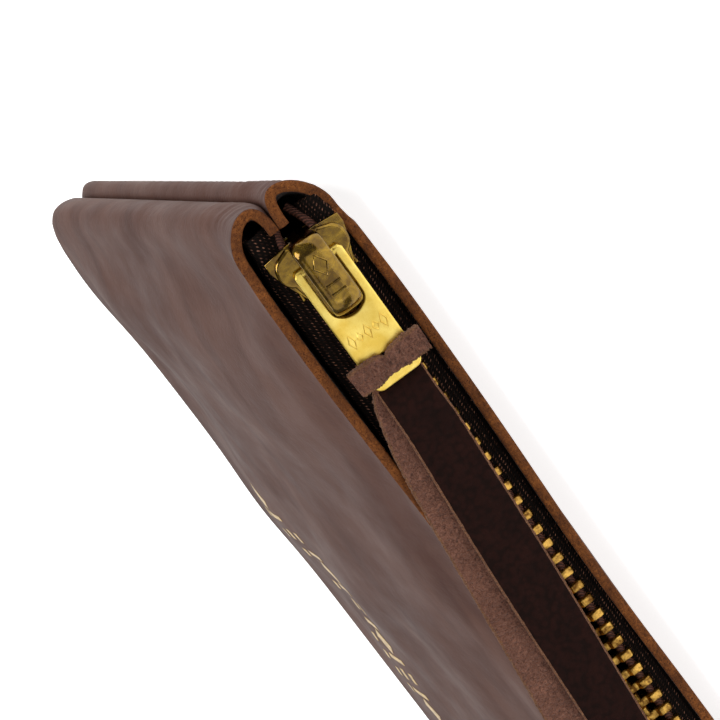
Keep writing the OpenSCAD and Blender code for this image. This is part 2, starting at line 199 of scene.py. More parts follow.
def plate(outlines, low, high, bevel, plane="xl", steps=3):
    """An outline with holes, extruded between two heights with rounded edges.

    In plane "xl" the outline is drawn in (x, l) and the heights are n; in "xn" the other way.
    """
    curve = bpy.data.curves.new("outline", "CURVE")
    curve.dimensions = "2D"
    curve.fill_mode = "BOTH"
    curve.extrude = (high - low) / 2 - bevel
    curve.bevel_depth = bevel
    curve.bevel_resolution = steps
    curve.offset = -bevel
    for outline in outlines:
        spline = curve.splines.new("POLY")
        spline.points.add(len(outline) - 1)
        spline.points.foreach_set("co", [c for x, y in outline for c in (x, y, 0, 1)])
        spline.use_cyclic_u = True
    obj = bpy.data.objects.new("outline", curve)
    bpy.context.scene.collection.objects.link(obj)
    bpy.context.view_layer.update()
    mesh = bpy.data.meshes.new_from_object(obj.evaluated_get(bpy.context.evaluated_depsgraph_get()))
    co = np.array([v.co for v in mesh.vertices]).reshape(-1, 3)
    faces = [tuple(f.vertices) for f in mesh.polygons]
    bpy.data.objects.remove(obj)
    bpy.data.meshes.remove(mesh)
    height = (low + high) / 2 + co[:, 2]
    if plane == "xl":
        faces = [f[::-1] for f in faces]
        points = np.stack([co[:, 0], height, co[:, 1]], -1)
    else:
        points = np.stack([co[:, 0], co[:, 1], height], -1)
    return Part(to_row(points), faces, uv=co[:, :2])


def sweep(centres, sides, ups, loop, material=0, close=False):
    """A closed cross-section carried along a path. loop is (side, up) for each path point."""
    centres, sides, ups = (np.asarray(v, float) for v in (centres, sides, ups))
    loop = np.asarray(loop, float)
    if loop.ndim == 2:
        loop = np.broadcast_to(loop, (len(centres),) + loop.shape)
    points = (centres[:, None] + loop[..., :1] * sides[:, None] + loop[..., 1:] * ups[:, None])
    count, around = loop.shape[:2]
    index = np.arange(count * around).reshape(count, around)
    if close:
        index = np.vstack([index, index[:1]])
    faces = [tuple(f) for f in quads(index, wrap=True)]
    labels = list(np.resize(material, around)) * (len(index) - 1)
    if not close:
        faces += [tuple(index[0]), tuple(index[-1][::-1])]
        labels += [labels[0], labels[0]]
    run = np.concatenate([[0], np.cumsum(np.linalg.norm(np.diff(centres, axis=0), axis=1))])
    girth = np.cumsum(np.linalg.norm(np.diff(loop[0], axis=0, prepend=loop[0][:1]), axis=1))
    uv = np.stack(np.broadcast_arrays(run[:, None], girth[None, :]), -1)
    return Part(points.reshape(-1, 3), faces, labels, uv)


def tube(path, radius, around=12, close=False, squash=1.0):
    """A round thread or wire along mouth-frame points."""
    path = np.asarray(path, float)
    if close:
        along = np.roll(path, -1, 0) - np.roll(path, 1, 0)
    else:
        along = np.gradient(path, axis=0)
    along /= np.linalg.norm(along, axis=1, keepdims=True)
    up = np.array([0.02, 1.0, 0.03])
    side = np.cross(along, up)
    side /= np.linalg.norm(side, axis=1, keepdims=True)
    up = np.cross(side, along)
    a = np.linspace(0, 2 * math.pi, around, endpoint=False)
    ring = np.stack([np.cos(a), squash * np.sin(a)], -1)
    radius = np.broadcast_to(np.asarray(radius, float), (len(path),))
    made = sweep(path, side, up, radius[:, None, None] * ring, close=close)
    made.points = to_row(made.points)
    return made


def spline(knots, count):
    """A smooth line through a few points, evenly walked."""
    knots = np.asarray(knots, float)
    t = np.linspace(0, len(knots) - 1, count * 4)
    i = np.clip(t.astype(int), 0, len(knots) - 2)
    f = (t - i)[:, None]
    padded = np.vstack([2 * knots[0] - knots[1], knots, 2 * knots[-1] - knots[-2]])
    a, b, c, d = (padded[i + k] for k in range(4))
    line = 0.5 * (2 * b + (c - a) * f + (2 * a - 5 * b + 4 * c - d) * f**2
                  + (3 * b - a - 3 * c + d) * f**3)
    run = np.concatenate([[0], np.cumsum(np.linalg.norm(np.diff(line, axis=0), axis=1))])
    even = np.linspace(0, run[-1], count)
    return np.stack([np.interp(even, run, line[:, k]) for k in range(line.shape[1])], -1)


# ---------------------------------------------------------------------------------- materials
def tone(r, g, b):
    """A display colour of 0 to 255 as the shader's linear colour."""
    return tuple(((c / 255 + 0.055) / 1.055) ** 2.4 if c > 10 else c / 3295 for c in (r, g, b)) + (1,)


class Finish:
    """A material and short ways to add nodes to it. Texture space is in millimetres."""

    def __init__(self, name):
        self.material = bpy.data.materials.new(name)
        self.material.use_nodes = True
        self.tree = self.material.node_tree
        self.shader = self.tree.nodes["Principled BSDF"]
        self.place = self.scaled(self.node("ShaderNodeTexCoord").outputs["Object"], (1000,) * 3)

    def put(self, socket, value):
        if isinstance(value, bpy.types.NodeSocket):
            self.tree.links.new(value, socket)
        elif value is not None:
            socket.default_value = value

    def node(self, kind, settings=None, **sockets):
        made = self.tree.nodes.new(kind)
        for k, v in (settings or {}).items():
            setattr(made, k, v)
        for k, v in sockets.items():
            self.put(made.inputs[k.replace("_", " ")], v)
        return made

    def scaled(self, vector, scale, turn=(0, 0, 0)):
        return self.node("ShaderNodeMapping", Vector=vector, Scale=scale, Rotation=turn).outputs[0]

    def noise(self, size, detail=4, rough=0.6, stretch=(1, 1, 1), place=None, warp=0):
        scale = tuple(s / size for s in stretch)
        return self.node("ShaderNodeTexNoise", Vector=self.scaled(place or self.place, scale),
                         Scale=1.0, Detail=detail, Roughness=rough, Distortion=warp).outputs["Fac"]

    def cells(self, size, feature="F1", place=None, stretch=(1, 1, 1)):
        scale = tuple(s / size for s in stretch)
        return self.node("ShaderNodeTexVoronoi", {"feature": feature},
                         Vector=self.scaled(place or self.place, scale), Scale=1.0).outputs["Distance"]

    def math(self, how, a, b=0.0):
        made = self.node("ShaderNodeMath", {"operation": how})
        self.put(made.inputs[0], a)
        self.put(made.inputs[1], b)
        return made.outputs[0]

    def span(self, value, low, high, to_low=0.0, to_high=1.0):
        return self.node("ShaderNodeMapRange", Value=value, From_Min=low, From_Max=high,
                         To_Min=to_low, To_Max=to_high).outputs[0]

    def blend(self, share, a, b):
        made = self.node("ShaderNodeMix", {"data_type": "RGBA"})
        self.put(made.inputs[0], share)
        self.put(made.inputs[6], a)
        self.put(made.inputs[7], b)
        return made.outputs[2]

    def bump(self, height, depth, under=None):
        made = self.node("ShaderNodeBump", Height=height, Distance=depth * MM, Strength=1.0)
        self.put(made.inputs["Normal"], under)
        return made.outputs[0]

    def done(self, **sockets):
        for k, v in sockets.items():
            self.put(self.shader.inputs[k.replace("_", " ")], v)
        return self.material


def pouch_leather():
    """Waxed brown leather: cloudy colour, darker streaks along the zipper, fine pores and soft
    creases. The streaks are partly the leather's own uneven tone and partly painted shade of its soft
    folds.
    """
    f = Finish("pouch_leather")
    clouds = f.noise(16, 3, 0.55, warp=0.4)
    # darker streaks along the zipper: partly the leather's own tone, partly painted shade of its soft
    # folds
    streaks_and_fold_shade = f.noise(5, 4, 0.6, stretch=(0.22, 1, 1), warp=0.6)
    base = f.blend(f.span(clouds, 0.35, 0.68), tone(76, 49, 41), tone(92, 65, 56))
    base = f.blend(f.span(streaks_and_fold_shade, 0.46, 0.78, 0, 0.5), base, tone(54, 30, 26))
    pores = f.cells(0.55)
    base = f.blend(f.span(pores, 0.0, 0.16, 0.5, 0), base, tone(36, 19, 16))
    folds = f.noise(2.6, 3, 0.6, stretch=(1, 0.35, 1), warp=0.5)
    relief = f.bump(folds, 0.05)
    relief = f.bump(f.span(pores, 0.0, 0.5), 0.02, relief)
    relief = f.bump(f.noise(0.14, 2), 0.006, relief)
    rough = f.span(f.noise(7, 4), 0.3, 0.7, 0.5, 0.66)
    return f.done(Base_Color=base, Roughness=rough, Normal=relief, Specular_IOR_Level=0.1)


def cut_edge():
    """Raw tan edge of the leather: fibrous, with darker specks."""
    f = Finish("cut_edge")
    fibre = f.noise(0.32, 5, 0.75, warp=0.8)
    patch = f.noise(2.4, 3, 0.6)
    base = f.blend(f.span(fibre, 0.3, 0.7), tone(56, 26, 9), tone(150, 88, 38))
    base = f.blend(f.span(patch, 0.4, 0.66, 0, 0.7), base, tone(78, 42, 20))
    specks = f.noise(0.16, 2, 0.6)
    base = f.blend(f.span(specks, 0.56, 0.68, 0, 0.85), base, tone(36, 17, 9))
    relief = f.bump(fibre, 0.22)
    return f.done(Base_Color=base, Roughness=0.88, Normal=f.bump(specks, 0.05, relief),
                  Specular_IOR_Level=0.2)


def flesh_side(name, dark, light, size=0.3):
    """The napped back of leather: short matted fibres."""
    f = Finish(name)
    nap = f.noise(size, 5, 0.72, warp=1.2)
    patch = f.noise(3.5, 3, 0.6)
    base = f.blend(f.span(nap, 0.3, 0.7), dark, light)
    base = f.blend(f.span(patch, 0.4, 0.75, 0, 0.35), base, dark)
    pits = f.cells(size * 1.3)
    base = f.blend(f.span(pits, 0.0, 0.22, 0.7, 0), base, tuple(c * 0.35 for c in dark[:3]) + (1,))
    relief = f.bump(nap, 0.24)
    relief = f.bump(pits, 0.14, relief)
    return f.done(Base_Color=base, Roughness=0.95, Normal=relief, Specular_IOR_Level=0.08,
                  Sheen_Weight=0.1, Sheen_Roughness=0.5)


def strap_grain():
    """The strap's smooth side: nearly black, with a rounded pebble."""
    f = Finish("strap_grain")
    pebble = f.cells(0.62, "SMOOTH_F1")
    lines = f.noise(0.5, 4, 0.6, warp=0.5)
    base = f.blend(f.span(f.noise(2.5, 3), 0.35, 0.7), tone(25, 10, 7), tone(33, 14, 10))
    base = f.blend(f.span(pebble, 0.35, 0.62, 0, 0.6), base, tone(14, 6, 4))
    relief = f.bump(f.span(pebble, 0.1, 0.7, 1, 0), 0.05)
    relief = f.bump(lines, 0.025, relief)
    rough = f.span(lines, 0.3, 0.7, 0.46, 0.62)
    return f.done(Base_Color=base, Roughness=rough, Normal=relief, Specular_IOR_Level=0.05)


def woven_tape():
    """Zipper tape: dark twill in ribs that run along the zipper, with paler specks of painted
    highlight on the tops of the yarns.
    """
    f = Finish("woven_tape")
    uv = f.node("ShaderNodeUVMap", {"uv_map": "millimetres"}).outputs[0]
    parts = f.node("ShaderNodeSeparateXYZ", Vector=uv)
    along, across = parts.outputs[0], parts.outputs[1]
    wobble = f.math("MULTIPLY", f.noise(1.3, 3), 0.35)
    rib = f.math("SINE", f.math("MULTIPLY", f.math("ADD", across, wobble), 2 * math.pi / 0.55))
    slant = f.math("ADD", f.math("MULTIPLY", along, 1.0), f.math("MULTIPLY", across, 0.9))
    yarn = f.math("SINE", f.math("MULTIPLY", f.math("ADD", slant, wobble), 2 * math.pi / 0.42))
    knot = f.math("MULTIPLY", f.span(rib, -0.6, 1), f.span(yarn, -0.5, 1))
    fuzz = f.noise(0.12, 3, 0.7)
    base = f.blend(f.span(knot, 0.05, 0.9), tone(10, 5, 3), tone(44, 26, 19))
    # pale specks on the tops of the weave knots: painted highlight
    painted_glint = f.math("MULTIPLY", f.span(knot, 0.4, 0.85), f.span(f.noise(0.7, 2), 0.46, 0.62))
    base = f.blend(f.math("MULTIPLY", painted_glint, 0.9), base, tone(150, 104, 84))
    relief = f.bump(knot, 0.2)
    return f.done(Base_Color=base, Roughness=0.88, Normal=f.bump(fuzz, 0.05, relief),
                  Specular_IOR_Level=0.1)


def thread(name, dark, light):
    """Twisted thread."""
    f = Finish(name)
    twist = f.node("ShaderNodeTexWave", {"bands_direction": "DIAGONAL"},
                   Vector=f.scaled(f.place, (1.3, 1.3, 1.3)), Scale=1.0, Distortion=1.5,
                   Detail=2.0).outputs["Fac"]
    base = f.blend(twist, dark, light)
    base = f.blend(f.span(f.noise(0.2, 3), 0.45, 0.75, 0, 0.5), base, dark)
    return f.done(Base_Color=base, Roughness=0.7, Normal=f.bump(twist, 0.08),
                  Specular_IOR_Level=0.3)


def brushed_brass():
    """The puller's bright brass: a fine satin of short strokes along it, with faint wear."""
    f = Finish("brushed_brass")
    stroke = f.noise(0.11, 4, 0.7, stretch=(0.18, 1, 1))
    grit = f.noise(0.07, 3, 0.7)
    wear = f.noise(2.2, 4, 0.6)
    base = f.blend(f.span(wear, 0.35, 0.7), tone(226, 190, 84), tone(246, 220, 122))
    base = f.blend(f.span(grit, 0.5, 0.8, 0, 0.35), base, tone(186, 146, 54))
    relief = f.bump(stroke, 0.010)
    relief = f.bump(grit, 0.008, relief)
    rough = f.span(stroke, 0.3, 0.7, 0.26, 0.42)
    return f.done(Base_Color=base, Metallic=1.0, Roughness=rough, Normal=relief)


def lacquered_brass():
    """The slider's olive brass: glossy lacquer over cloudy, slightly tarnished metal."""
    f = Finish("lacquered_brass")
    cloud = f.noise(1.4, 4, 0.6, warp=0.6)
    speck = f.noise(0.22, 3, 0.7)
    base = f.blend(f.span(cloud, 0.35, 0.68), tone(92, 66, 11), tone(150, 118, 32))
    base = f.blend(f.span(speck, 0.6, 0.76, 0, 0.7), base, tone(46, 31, 6))
    relief = f.bump(cloud, 0.035)
    relief = f.bump(speck, 0.006, relief)
    return f.done(Base_Color=base, Metallic=1.0, Roughness=f.span(cloud, 0.3, 0.7, 0.12, 0.24),
                  Normal=relief, Coat_Weight=0.5, Coat_Roughness=0.06)


def antique_brass():
    """Teeth and stops: worn brass, dark where tarnish stays."""
    f = Finish("antique_brass")
    patch = f.noise(0.9, 4, 0.65)
    base = f.blend(f.span(patch, 0.38, 0.62), tone(92, 60, 24), tone(204, 160, 78))
    speck = f.noise(0.2, 3, 0.7)
    base = f.blend(f.span(speck, 0.6, 0.75, 0, 0.6), base, tone(64, 42, 18))
    return f.done(Base_Color=base, Metallic=1.0, Roughness=f.span(patch, 0.3, 0.7, 0.42, 0.24),
                  Normal=f.bump(speck, 0.012))


def gold_foil():
    """Foil pressed into the leather, worn away in places."""
    f = Finish("gold_foil")
    wear = f.noise(0.7, 5, 0.7)
    base = f.blend(f.span(wear, 0.42, 0.6), tone(150, 118, 52), tone(214, 178, 96))
    return f.done(Base_Color=base, Metallic=f.span(wear, 0.4, 0.6, 0.5, 1.0), Roughness=0.36,
                  Normal=f.bump(wear, 0.03))


def paper_white():
    """The table: matt white with a very faint tooth."""
    f = Finish("table_white")
    tooth = f.noise(3, 3)
    base = f.blend(tooth, (0.62, 0.62, 0.62, 1), (0.66, 0.66, 0.66, 1))
    return f.done(Base_Color=base, Roughness=0.9, Normal=f.bump(tooth, 0.01),
                  Specular_IOR_Level=0.1, Emission_Color=(1, 0.995, 0.99, 1),
                  Emission_Strength=0.86)


LEATHER_GRAIN = pouch_leather()
LEATHER_EDGE = cut_edge()
LEATHER_FLESH = flesh_side("leather_flesh", tone(34, 19, 13), tone(62, 38, 26))
STRAP_SUEDE = flesh_side("strap_suede", tone(58, 33, 25), tone(140, 96, 78), 0.34)
STRAP_GRAIN = strap_grain()
STRAP_EDGE = flesh_side("strap_edge", tone(70, 40, 26), tone(150, 106, 76), 0.2)
TAPE = woven_tape()
CORD = thread("bead_cord", tone(46, 24, 17), tone(104, 62, 48))
THREAD = thread("seam_thread", tone(96, 54, 44), tone(158, 108, 92))
HIDDEN_THREAD = thread("lip_thread", tone(60, 36, 31), tone(88, 56, 49))
PULL_BRASS = brushed_brass()
SLIDER_BRASS = lacquered_brass()
TOOTH_BRASS = antique_brass()
FOIL = gold_foil()


# ------------------------------------------------------------------------ leather pouch panels
THICK = 1.2
ROLL = 4.0
GROOVE = 2.2
CORNER = 8.0
HEIGHT = 2 * HALF_H
LIP_RISE = 1.35
SEAM_SHIFT = 1.2
SEAM_GAP = 0.05
FACE_W = HALF_L - ROLL
FACE_D = HEIGHT - ROLL
FACE_R = CORNER - ROLL
SIDE_RUN = FACE_D - FACE_R
ARC_RUN = FACE_R * math.pi / 2
RIM_RUN = 2 * (SIDE_RUN + ARC_RUN + FACE_W - FACE_R)


def bend(depth):
    return smooth((depth - 3.6) / 16.4)


def section(x, depth, height):
    """Row-frame points at a depth below the lips and a height over the seam plane."""
    k = bend(depth)
    n = LIP_RISE - depth
    l = height + SEAM_SHIFT
    y = mix(CHAIN[1] + n * OUT[1] + l * ACROSS[1], HALF_H - depth, k)
    z = mix(CHAIN[2] + n * OUT[2] + l * ACROSS[2], SEAM_Z + height, k)
    return np.stack(np.broadcast_arrays(x, y, z), -1)


def fullness(x, depth):
    inward = np.minimum(HALF_L - np.abs(x), HEIGHT - depth)
    span = mix(8.0, 18.0, bend(depth))
    return smooth((inward - ROLL) / (span - ROLL))


def lip_bow(u, front):
    """How far a soft lip bows out from the frame's straight one, at u from the slider end."""
    if front:
        return 0.5 * bell(u, 17, 18)
    return -0.4 - 0.4 * bell(u, 4, 8) - 0.5 * bell(u, 56, 17)


def front_height(x, depth):
    u = x + HALF_L
    full = 5.8 + 2.8 * np.sin(np.pi * np.clip(depth / HEIGHT, 0, 1))
    puff = 0.85 * bell(u, 13, 9) * bell(depth, 86, 13) + 0.6 * bell(u, 56, 9) * bell(depth, 86, 13)
    f = fullness(x, depth)
    near = 1 - smooth(depth / 16)
    lip = mix(5.7, 5.8, f) + lip_bow(u, True) * near
    return mix(lip, mix(5.8, full, f), bend(depth)) + puff


def back_height(x, depth):
    u = x + HALF_L
    f = fullness(x, depth)
    near = 1 - smooth(depth / 16)
    rim_puff = mix(6.6, 4.8, smooth(depth / 8))
    lip = mix(rim_puff, 7.8 + lip_bow(u, False) * near, f)
    return mix(lip, mix(3.4, SEAM_Z, f), bend(depth))


def rim(s):
    """The edge of a panel's face at a run from the mouth: x, depth and direction inwards."""
    r = np.minimum(s, RIM_RUN - s)
    side = np.where(s > RIM_RUN / 2, -1.0, 1.0)
    a = np.clip((r - SIDE_RUN) / FACE_R, 0, math.pi / 2)
    x = -FACE_W + FACE_R * (1 - np.cos(a)) + np.maximum(r - SIDE_RUN - ARC_RUN, 0)
    depth = np.minimum(r, SIDE_RUN) + FACE_R * np.sin(a)
    return x * side, depth, np.cos(a) * side, -np.sin(a)


def face_grid(across, down):
    """x and depth over a panel's face, on a grid that follows its rounded rim."""
    turn = SIDE_RUN + ARC_RUN / 2
    v = np.linspace(0, 1, down + 1)
    v = 0.45 * v + 0.55 * v**2
    t = np.linspace(-1, 1, across + 1)
    t = 0.55 * np.sin(t * math.pi / 2) + 0.45 * t
    left = np.stack(rim(turn * v)[:2], -1)
    right = left * np.array([-1, 1])
    base = np.stack(rim(mix(turn, RIM_RUN - turn, (t + 1) / 2))[:2], -1)
    top = np.stack([t * FACE_W, np.zeros_like(t)], -1)
    s = ((t + 1) / 2)[:, None, None]
    v = v[None, :, None]
    sides = mix(left[None], right[None], s) + mix(top[:, None], base[:, None], v)
    corners = mix(mix(left[0], right[0], s), mix(left[-1], right[-1], s), v)
    grid = sides - corners
    return grid[..., 0], grid[..., 1]


def wrinkles(run, amount, seed):
    """Fine folds across the side seam, strongest just below the mouth."""
    depth = np.minimum(run, RIM_RUN - run)
    wave = np.sin(2 * math.pi * run / 2.3 + 2.2 * swell(run, 0 * run, 9, seed))
    wave = wave * (0.6 + 0.4 * swell(run, 0 * run, 7, seed + 1))
    fine = 0.35 * np.sin(2 * math.pi * run / 1.1 + 2 * swell(run, 0 * run, 5, seed + 2))
    return amount * (wave + fine) * (0.2 + 0.8 * bell(depth, 8, 10)) * smooth((depth - 1) / 3)


def relief(x, depth, front):
    """Soft undulation of a face, which dies out towards its rim."""
    inward = np.minimum(HALF_L - np.abs(x), HEIGHT - depth)
    inner = smooth((inward - ROLL) / 9) * smooth(depth / 12)
    if not front:
        return 0.12 * swell(x, depth, 26, 5) * inner
    long_folds = 0.22 * swell(x * 0.35, depth, 13, 3) * smooth((depth - 4) / 14)
    return (0.35 * swell(x, depth, 34, 4) + long_folds) * inner


def panel(front):
    """A panel's closed shell: grain side, flesh side and the cut edge between them."""
    across, down, turns = 230, 120, 22
    side = 1 if front else -1
    height_of = front_height if front else back_height
    x, depth = face_grid(across, down)
    height = height_of(x, depth) + relief(x, depth, front)
    # the back lip dips at the slider end
    dip = 0 * depth if front else (1.0 * bell(x + HALF_L, 4.4, 2.4) * (1 - smooth(depth / 5)))
    face = section(x, depth + dip, side * height)

    # the rim's points, and the roll that turns in from them
    index = np.arange(face[..., 0].size).reshape(x.shape)
    border = np.concatenate([index[0], index[1:, -1], index[-1, -2::-1]])
    border_i, border_j = np.unravel_index(border, x.shape)
    flat_x, flat_depth = x[border_i, border_j], depth[border_i, border_j]
    turn = SIDE_RUN + ARC_RUN / 2
    v = np.linspace(0, 1, down + 1)
    v = 0.45 * v + 0.55 * v**2
    t = np.linspace(-1, 1, across + 1)
    t = 0.55 * np.sin(t * math.pi / 2) + 0.45 * t
    run = np.concatenate([turn * v, mix(turn, RIM_RUN - turn, (t[1:] + 1) / 2),
                          RIM_RUN - turn * v[-2::-1]])
    in_x, in_depth = rim(run)[2:]
    full = height_of(flat_x, flat_depth)
    outer_x, outer_depth = flat_x - ROLL * in_x, flat_depth - ROLL * in_depth
    # at the mouth the roll flares out and its crest sits nearer the seam
    mouth_flare, mouth_crest = (1.1, 0.34) if front else (1.55, 0.29)
    flare = mouth_flare * bell(flat_depth, 0, 3.2)
    flare -= 0.45 * bell(flat_depth, 12, 5)
    crest = mix(mouth_crest, 0.5, smooth(flat_depth / 9))
    fold = wrinkles(run, 0.08 if front else 0.12, 11 if front else 31) + flare
    rows = []
    for j in range(1, turns + 1):
        a = math.pi * j / turns
        curl = (1 - math.sin(a)) ** (1.25 if a < math.pi / 2 else 1)
        reach = ROLL if a < math.pi / 2 else GROOVE
        inward = reach * curl - fold * math.sin(a) ** 2
        rise = 0.5 + 0.5 * math.cos(a) + (crest - 0.5) * math.sin(a) ** 2
        h = SEAM_GAP + (full - SEAM_GAP) * rise
        sunk = outer_depth + inward * in_depth
        if a < math.pi / 2:
            sunk = sunk + dip[border_i, border_j] * (1 - math.sin(a)) ** 2
        rows.append(section(outer_x + inward * in_x, sunk, side * h))
    reach = GROOVE + mix(0.6, 4.0, smooth((flat_depth - 5) / 8))
    rows.append(section(outer_x + reach * in_x, outer_depth + reach * in_depth,
                        side * (SEAM_GAP + 0 * full)))
    roll = np.stack(rows)
    count = index.size
    roll_index = np.vstack([border, count + np.arange(roll[..., 0].size).reshape(roll.shape[:2])])

    points = np.vstack([face.reshape(-1, 3), roll.reshape(-1, 3)])
    floor_z = 0.0
    if not front:
        points[:, 2] = np.maximum(points[:, 2], floor_z)
    skin = np.vstack([quads(index), quads(roll_index)[:, ::-1]])
    if front:
        skin = skin[:, ::-1]
    n = normals(points, skin)
    lip = np.concatenate([roll_index[::-1, 0], index[1:-1, 0], roll_index[:, -1]])
    at_mouth = np.unique(np.concatenate([index[:, 0], roll_index[:, 0], roll_index[:, -1]]))
    n[at_mouth] -= np.outer(n[at_mouth] @ OUT, OUT)
    n[at_mouth] /= np.maximum(np.linalg.norm(n[at_mouth], axis=1, keepdims=True), 1e-9)
    inner = points - THICK * n
    if not front:
        inner[:, 2] = np.maximum(inner[:, 2], THICK)
    total = len(points)

    # the cut edge, slightly swollen and rough
    steps = 7
    rng = np.random.default_rng(7 if front else 8)
    edge_rows = []
    for k in range(1, steps):
        t = k / steps
        bulge = 0.2 * math.sqrt(1 - (2 * t - 1) ** 2) + rng.normal(0, 0.045, len(lip))
        edge_rows.append(mix(points[lip], inner[lip], t) + bulge[:, None] * OUT)
    edge = np.stack(edge_rows)
    edge_index = np.vstack([lip, 2 * total + np.arange(edge[..., 0].size).reshape(edge.shape[:2]),
                            lip + total])
    edge_faces = quads(edge_index)
    hem = np.vstack([roll_index[-1], roll_index[-1] + total])
    hem_faces = quads(hem)
    # where the cut edge and the hem meet
    ends = [tuple(edge_index[:, 0]), tuple(edge_index[::-1, -1])]
    if front:
        edge_faces, hem_faces = edge_faces[:, ::-1], hem_faces[:, ::-1]
        ends = [e[::-1] for e in ends]
    faces = ([tuple(f) for f in skin] + [tuple(f[::-1]) for f in skin + total]
             + [tuple(f) for f in edge_faces] + [tuple(f[::-1]) for f in hem_faces] + ends)
    labels = [0] * len(skin) + [1] * len(skin) + [2] * (len(edge_faces) + len(hem_faces) + 2)
    return Part(np.vstack([points, inner, edge.reshape(-1, 3)]), faces, labels)


def build_panels():
    finishes = [LEATHER_GRAIN, LEATHER_FLESH, LEATHER_EDGE]
    piece("pouch_front", [panel(True)], finishes, "pouch", ["front_panel"], 60)
    piece("pouch_back", [panel(False)], finishes, "pouch", ["back_panel"], 60)


# ------------------------------------------------------------------------------ zipper tapes
TAPE_THICK = 0.5
BEAD = 2.15
BEAD_R = 0.5
TAPE_FAR = 2 * HALF_L - 9.0
TAPE_BEND = 9.0
TAPE_NEAR = 1.9


def tape_section(x, side):
    """Knots of a tape's line in (n, l) at x: flat beside the chain, then down the wall."""
    lip = 7.0 if side > 0 else 6.6
    wall = lip - THICK - TAPE_THICK / 2 - 0.1
    straight = [(0, BEAD + BEAD_R + 0.05), (0.02, 3.6), (0.0, wall - 0.9), (-0.25, wall - 0.2),
                (-1.0, wall), (-2.6, wall), (-5.5, wall - 0.4), (-9.5, wall - 1.2)]
    folded = [(-0.6, 1.9), (0.35, 2.9), (0.9, wall - 1.6), (0.75, wall - 0.75),
              (-0.4, wall - 0.5), (-2.6, wall - 0.6), (-5.5, wall - 1.0), (-9.5, wall - 1.6)]
    k = smooth((TAPE_BEND - x) / (TAPE_BEND - TAPE_NEAR))
    return mix(np.array(straight), np.array(folded), k)


def tape(side):
    """A woven strip of even thickness, closed by a flat band round its edge."""
    xs = np.concatenate([np.linspace(TAPE_NEAR, TAPE_BEND, 24),
                         np.linspace(TAPE_BEND, TAPE_FAR, 150)[1:]])
    width = 40
    lines = []
    for x in xs:
        line = spline(tape_section(x, side), width)
        ripple = 0.05 * swell(np.full(width, x), line[:, 1] * 2, 5, 21 + side)
        lines.append(np.stack([np.full(width, x), line[:, 0] + ripple, side * line[:, 1]], -1))
    grid = to_row(np.stack(lines))
    index = np.arange(len(xs) * width).reshape(len(xs), width)
    points = grid.reshape(-1, 3)
    skin = quads(index)
    if side > 0:
        skin = skin[:, ::-1]
    n = normals(points, skin)
    top, under = points + n * TAPE_THICK / 2, points - n * TAPE_THICK / 2
    total = len(points)
    ring = np.concatenate([index[0], index[1:, -1], index[-1, -2::-1], index[-2:0:-1, 0]])
    band = quads(np.stack([ring, ring + total]), wrap=True)
    if side < 0:
        band = band[:, ::-1]
    faces = np.vstack([skin, skin[:, ::-1] + total, band])
    run = np.concatenate([np.zeros((len(xs), 1)),
                          np.cumsum(np.linalg.norm(np.diff(grid, axis=1), axis=2), axis=1)], 1)
    uv = np.stack([np.repeat(xs[:, None], width, 1), run], -1).reshape(-1, 2)
    return Part(np.vstack([top, under]), faces, 0, np.vstack([uv, uv]))


def bead_cord(side):
    """The cord woven into a tape's edge; its near end dips into the corner."""
    far = 2 * HALF_L - 6.5
    shift = 0.9 if side > 0 else 1.3
    near = [(1.9, -1.6, side * (BEAD - shift)), (2.9, -0.9, side * (BEAD - 0.6 * shift)),
            (4.6, -0.2, side * (BEAD - 0.15 * shift)), (7.0, 0, side * BEAD)]
    path = np.vstack([spline(near, 24), [(x, 0, side * BEAD) for x in np.linspace(8, far, 60)]])
    return tube(path, BEAD_R, 14)


def build_tapes():
    for name, side in (("front", 1), ("back", -1)):
        piece(f"zipper_tape_{name}", [tape(side)], [TAPE], "pouch", [f"tape_{name}"], 60)
        piece(f"edge_cord_{name}", [bead_cord(side)], [CORD], "pouch",
              [f"bead_cord_{name}"], 60)


# ----------------------------------------------------------------------------- teeth and stops
TOOTH_HALF = 1.05
CHAIN_HALF = 3.1


def tooth_outline(head):
    """Half of a tooth's section in (l, n), from its back to its head's middle."""
    leg = BEAD - BEAD_R - 0.15
    crest = TOOTH_HALF - 0.2
    return [(CHAIN_HALF, 0.0), (CHAIN_HALF, TOOTH_HALF - 0.25), (CHAIN_HALF - 0.3, TOOTH_HALF),
            (leg + 0.1, TOOTH_HALF), (leg - 0.3, crest - 0.3),
            (min(leg, 0.2 - head) + 0.6, crest - 0.32),
            (0.3 - head + 0.35, crest - 0.05), (0.25 - head, crest), (-head, crest - 0.35),
            (-head, 0.0)]


def tooth(x, side, head, rng, thick=1.0):
    """A stamped tooth with rounded edges, and a small nib on the head."""
    half = tooth_outline(head)
    outline = half + [(l, -n) for l, n in half[-2:0:-1]]
    lean = rng.normal(0, 0.02, 3)
    flat = np.array([(l, n) for l, n in outline])
    centre = flat.mean(0)
    rings, inset = [], 0.14
    for u, shrink in ((0, inset), (0.05, 0.05), (inset, 0), (thick - inset, 0),
                      (thick - 0.05, 0.05), (thick, inset)):
        away = flat - centre
        size = np.linalg.norm(away, axis=1, keepdims=True)
        ring = flat - away / size * shrink
        rings.append(np.stack([np.full(len(ring), x + u + lean[0]), ring[:, 1] + lean[1],
                               side * (ring[:, 0] + lean[2])], -1))
    grid = np.stack(rings)
    index = np.arange(grid[..., 0].size).reshape(grid.shape[:2])
    faces = [tuple(f) for f in quads(index, wrap=True)] + [tuple(index[0][::-1]), tuple(index[-1])]
    faces = faces if side > 0 else [f[::-1] for f in faces]
    faces = [f[::-1] for f in faces]
    return Part(to_row(grid.reshape(-1, 3)), faces)


